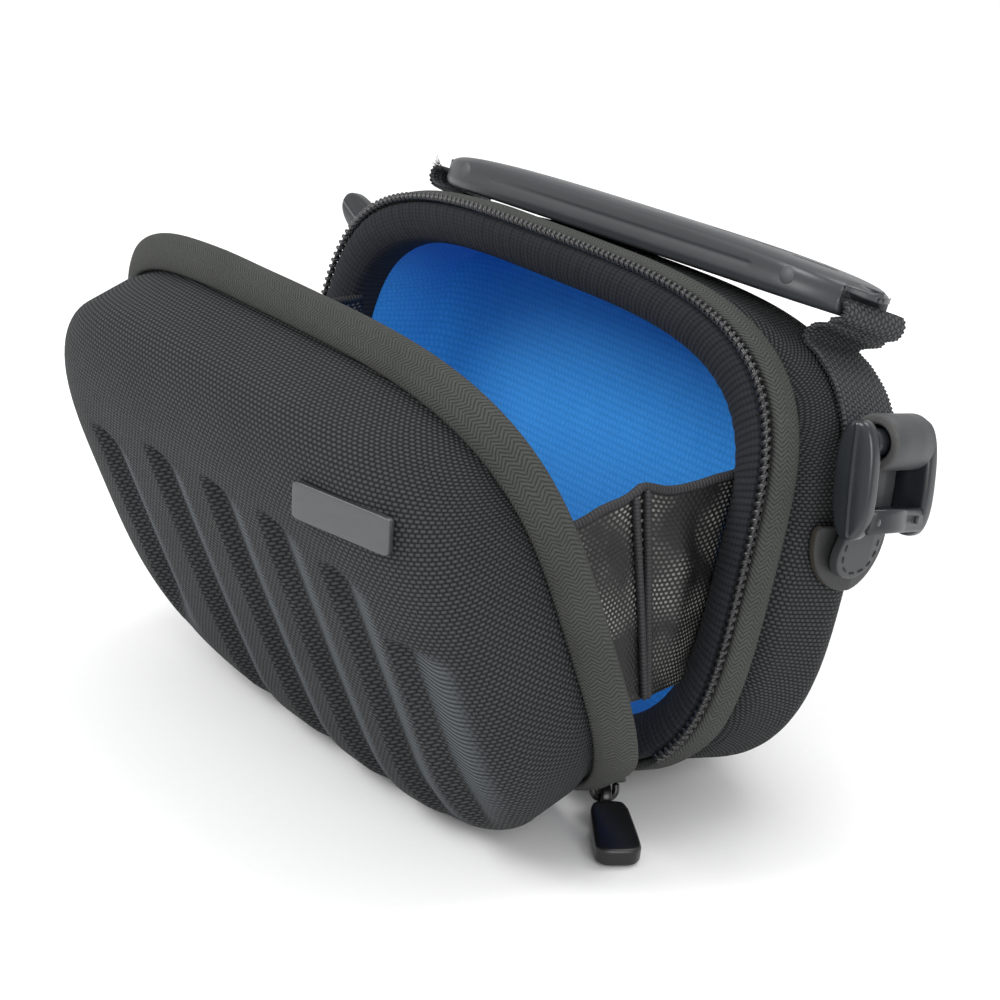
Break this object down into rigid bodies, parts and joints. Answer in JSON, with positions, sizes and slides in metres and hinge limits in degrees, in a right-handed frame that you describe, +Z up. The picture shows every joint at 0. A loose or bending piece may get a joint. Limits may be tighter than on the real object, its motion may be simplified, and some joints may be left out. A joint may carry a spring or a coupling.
{
  "type": "hard-shell zipped camera case",
  "caption": "Moulded hard-shell zip case standing half open, with a deep body, a shallower hinged lid, a lifting carry handle and a leather-looped strap ring on each side.",
  "frame": {"origin": "middle of the footprint, on the floor the open case stands on", "axes": "+X runs along the hinge to the side with the slider and the badge, +Y from the lid to the body's back, +Z up"},
  "size_m": [0.1724, 0.1148, 0.0987],
  "materials": {
    "shell_weave": "coarse woven polyester laminated on moulded foam, matte charcoal",
    "lining_fleece": "bright blue brushed fleece",
    "rim_knit": "black knitted binding with fine crimped ribs",
    "zip_tape": "dark greenish grey twill zip tape",
    "zip_coil": "black nylon coil",
    "gusset_mesh": "black mesh cloth with bound edges",
    "webbing": "charcoal ribbed webbing",
    "loop_leather": "smooth grey leather with raw cut edges",
    "patch_leather": "darker grey leather patch with stitching",
    "ring_plastic": "glossy blue grey moulded plastic",
    "handle_plastic": "dark grey semi-gloss moulded plastic",
    "pin_plastic": "dark grey plastic pin",
    "slider_black": "glossy black plated slider",
    "pull_black": "glossy black moulded pull",
    "badge_satin": "satin grey plate, left blank"
  },
  "bodies": {
    "case": {"body_shell": "shell_weave", "body_lining": "lining_fleece", "body_rim_binding": "rim_knit", "body_zip_tape": "zip_tape", "body_zip_coil": "zip_coil", "hinge_fabric": "zip_tape", "gusset_right_body": "gusset_mesh", "webbing_right": "webbing", "webbing_riser_right": "webbing", "anchor_patch_right": "patch_leather", "leather_loop_right": "loop_leather", "gusset_left_body": "gusset_mesh", "webbing_left": "webbing", "webbing_riser_left": "webbing", "anchor_patch_left": "patch_leather", "leather_loop_left": "loop_leather", "zip_slider": "slider_black", "slider_bail": "slider_black"},
    "lid": {"lid_shell": "shell_weave", "lid_lining": "lining_fleece", "lid_rim_binding": "rim_knit", "lid_zip_tape": "zip_tape", "lid_zip_coil": "zip_coil", "badge_plate": "badge_satin", "gusset_right_lid": "gusset_mesh", "gusset_left_lid": "gusset_mesh"},
    "handle": {"handle_grip": "handle_plastic", "handle_pin_right": "pin_plastic", "handle_pin_left": "pin_plastic"},
    "ring_right": {"strap_ring_right": "ring_plastic"},
    "ring_left": {"strap_ring_left": "ring_plastic"},
    "pull": {"zip_pull": "pull_black"}
  },
  "joints": [
    {"name": "lid_hinge", "type": "hinge", "parent": "case", "child": "lid", "pos_m": [0.00402, -0.0016, 0.00431], "axis": [1, 0, 0], "range_deg": [-33.5, 0], "deforming": ["gusset_right_body", "gusset_right_lid", "gusset_left_body", "gusset_left_lid", "hinge_fabric"]},
    {"name": "handle_lift", "type": "slide", "parent": "case", "child": "handle", "axis": [0, 0.2373, 0.9714], "range_m": [0, 0.012], "deforming": ["webbing_riser_right", "webbing_riser_left", "webbing_right", "webbing_left"]},
    {"name": "strap_ring_right_swing", "type": "hinge", "parent": "case", "child": "ring_right", "pos_m": [0.07842, 0.04148, 0.07192], "axis": [0.1908, -0.9536, 0.233], "range_deg": [-6, 105]},
    {"name": "strap_ring_left_swing", "type": "hinge", "parent": "case", "child": "ring_left", "pos_m": [-0.07038, 0.04148, 0.07192], "axis": [0, 0.9714, -0.2373], "range_deg": [-95, 15]},
    {"name": "zip_pull_swing", "type": "hinge", "parent": "case", "child": "pull", "pos_m": [0.05596, -0.00149, 0.00477], "axis": [0.4713, 0.8809, -0.0434], "range_deg": [-30, 150]}
  ]
}
